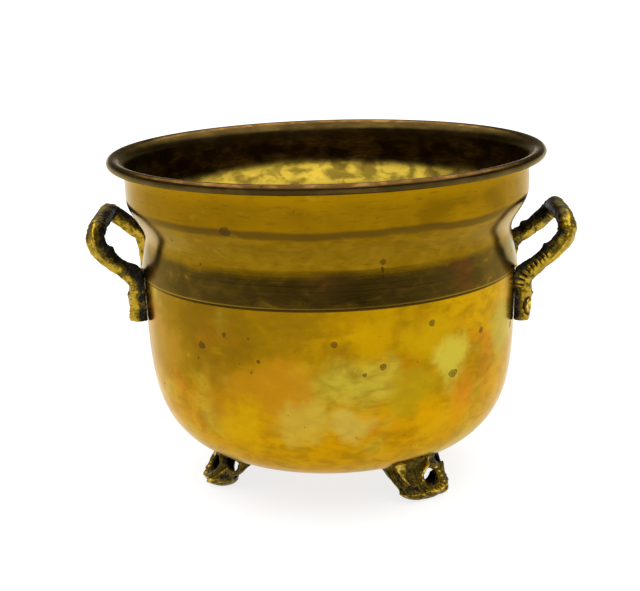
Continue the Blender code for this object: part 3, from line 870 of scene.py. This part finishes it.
def loft_mesh(name, levels, rings, sides, relief=False):
    """Closed solid through the levels' ellipses, with the casting's relief on it if asked."""
    verts, faces = [], []
    bottom, top = levels[0][0], levels[-1][0]
    for index in range(rings):
        height = bottom + (top - bottom) * index / (rings - 1)
        reach, half_depth, half_width = level_at(levels, height)
        for step in range(sides):
            turn = math.tau * step / sides
            away = Vector((math.sin(turn) / half_width, -math.cos(turn) / half_depth, 0)).normalized()
            spot = Vector((half_width * math.sin(turn), -reach - half_depth * math.cos(turn), height))
            if relief:
                degrees = turn_gap(math.degrees(turn), 0)
                lift = foot_relief(degrees, height * 1000)[0] + noise.noise(spot * 320) * 0.5
                spot += away * lift / 1000 * min(1, height / 0.002)
            verts.append(spot)
    for index in range(rings - 1):
        for step in range(sides):
            a, b = index * sides + step, index * sides + (step + 1) % sides
            faces.append((a, b, b + sides, a + sides))
    for start, height in ((0, bottom), ((rings - 1) * sides, top)):
        verts.append(Vector((0, -level_at(levels, height)[0], height)))
        faces += [(start + step, start + (step + 1) % sides, len(verts) - 1) for step in range(sides)]
    return mesh_of(name, verts, faces, {})


def hole_mesh(degrees, height, half_wide, half_tall):
    """Elliptical cutter from the middle of the foot out through its wall."""
    bm = bmesh.new()
    towards = Matrix.Rotation(math.radians(degrees), 4, "Z") @ Matrix.Rotation(math.pi / 2, 4, "X")
    shape = Matrix.Diagonal((half_wide, half_tall, 1, 1))
    centre = Matrix.Translation((0, -0.066, height))
    place = centre @ towards @ Matrix.Translation((0, 0, 0.016)) @ shape
    bmesh.ops.create_cone(bm, cap_ends=True, segments=40, radius1=0.85, radius2=1.1, depth=0.032, matrix=place)
    mesh = bpy.data.meshes.new("hole")
    bm.to_mesh(mesh)
    bm.free()
    return mesh


def sculpted(body, cutters):
    """Body with the cutters taken out, remeshed and smoothed so that its edges are cast rather than cut."""
    base = bpy.data.objects.new("foot_body", body)
    bpy.context.scene.collection.objects.link(base)
    helpers = []
    for cutter in cutters:
        helper = bpy.data.objects.new("foot_cutter", cutter)
        bpy.context.scene.collection.objects.link(helper)
        helpers.append(helper)
        cut = base.modifiers.new("cut", "BOOLEAN")
        cut.operation = "DIFFERENCE"
        cut.solver = "EXACT"
        cut.object = helper
    cast = base.modifiers.new("cast", "REMESH")
    cast.mode = "VOXEL"
    cast.voxel_size = FOOT_VOXEL
    soften = base.modifiers.new("soften", "SMOOTH")
    soften.factor = 0.5
    soften.iterations = 3
    bpy.context.view_layer.update()
    graph = bpy.context.evaluated_depsgraph_get()
    mesh = bpy.data.meshes.new_from_object(base.evaluated_get(graph))
    for extra in [base, *helpers]:
        bpy.data.objects.remove(extra)
    return mesh


def foot_casting():
    body = loft_mesh("foot_body", FOOT_LEVELS, FOOT_RINGS, FOOT_SIDES, relief=True)
    hollow = loft_mesh("foot_hollow", FOOT_HOLLOW, 16, 40)
    holes = [hole_mesh(*hole) for hole in FOOT_HOLES]
    mesh = sculpted(body, [hollow, *holes])
    relief = []
    for vert in mesh.vertices:
        height = max(vert.co.z, 0.0001)
        reach, half_depth, half_width = level_at(FOOT_LEVELS, height)
        turn = math.atan2(vert.co.x / half_width, -(vert.co.y + reach) / half_depth)
        skin = Vector((half_width * math.sin(turn), -reach - half_depth * math.cos(turn), height))
        rise, clean = foot_relief(math.degrees(turn), height * 1000)
        sunk = (vert.co - skin).length * 1000
        out = math.hypot(vert.co.x / half_width, (vert.co.y + reach) / half_depth) > 1
        depth = sunk - rise if out else -sunk - rise
        clean += 0.25 * noise.noise(vert.co * 500)
        relief.append(max(0, clean - 0.55 * max(0, -depth - 0.35)))
        roof = bottom_height(math.hypot(vert.co.x, vert.co.y)) - 0.0004
        if vert.co.z > roof:
            vert.co.z = roof
        vert.co.z = max(vert.co.z, 0)
    mesh.attributes.new("relief", "FLOAT", "POINT").data.foreach_set("value", relief)
    mesh.shade_smooth()
    return mesh


def bottom_height(radius):
    """Height of the pot's outer face over a point of its bottom."""
    flat = bowl_point(BOWL_LAST_TURN)[1]
    wide = min(0.999, radius / BOWL_RADIUS / (1 - BOWL_TAPER))
    share = (1 - wide**BOWL_FULLNESS) ** (1 / BOWL_FLATNESS)
    return max(flat, HEIGHT - BOWL_TOP_DEPTH - share * BOWL_DEPTH)


def make_feet():
    finish = cast_brass("foot_brass", 0.24, 0.64, 0.45)
    shared = foot_casting()
    for place, degrees in FOOT_TURNS.items():
        mesh = shared.copy()
        mesh.transform(Matrix.Rotation(math.radians(degrees), 4, "Z"))
        place_piece(f"casting_{place}", mesh, finish, "cast_brass", f"foot_{place}")


# ---------------------------------------------------------------- small brass parts


def plain_brass(name, colour, rough):
    """Turned or drawn brass with a little dirt."""
    finish, tree, shader, place = new_material(name)
    dirt = clouds(tree, place, 600, 3)
    tone = mix(tree, ease(tree, dirt, 0.45, 0.7), colour, tuple(channel * 0.35 for channel in colour))
    tree.links.new(tone, shader.inputs["Base Color"])
    tree.links.new(ease(tree, dirt, 0.3, 0.7, rough, rough + 0.15), shader.inputs["Roughness"])
    shader.inputs["Metallic"].default_value = 1.0
    return finish


def finish_small_parts():
    finishes = {
        "rim_wire": plain_brass("wire_brass", (0.22, 0.12, 0.03), 0.4),
        "screw": plain_brass("screw_brass", (0.50, 0.33, 0.08), 0.28),
        "washer": plain_brass("washer_brass", (0.34, 0.23, 0.07), 0.34),
    }
    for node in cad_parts.values():
        for start, finish in finishes.items():
            if node.name.startswith(start):
                node.data.materials.clear()
                node.data.materials.append(finish)


make_camera()
make_world()
make_floor()
bpy.context.scene.view_settings.view_transform = "Standard"
make_pot()
make_handles()
make_feet()
finish_small_parts()
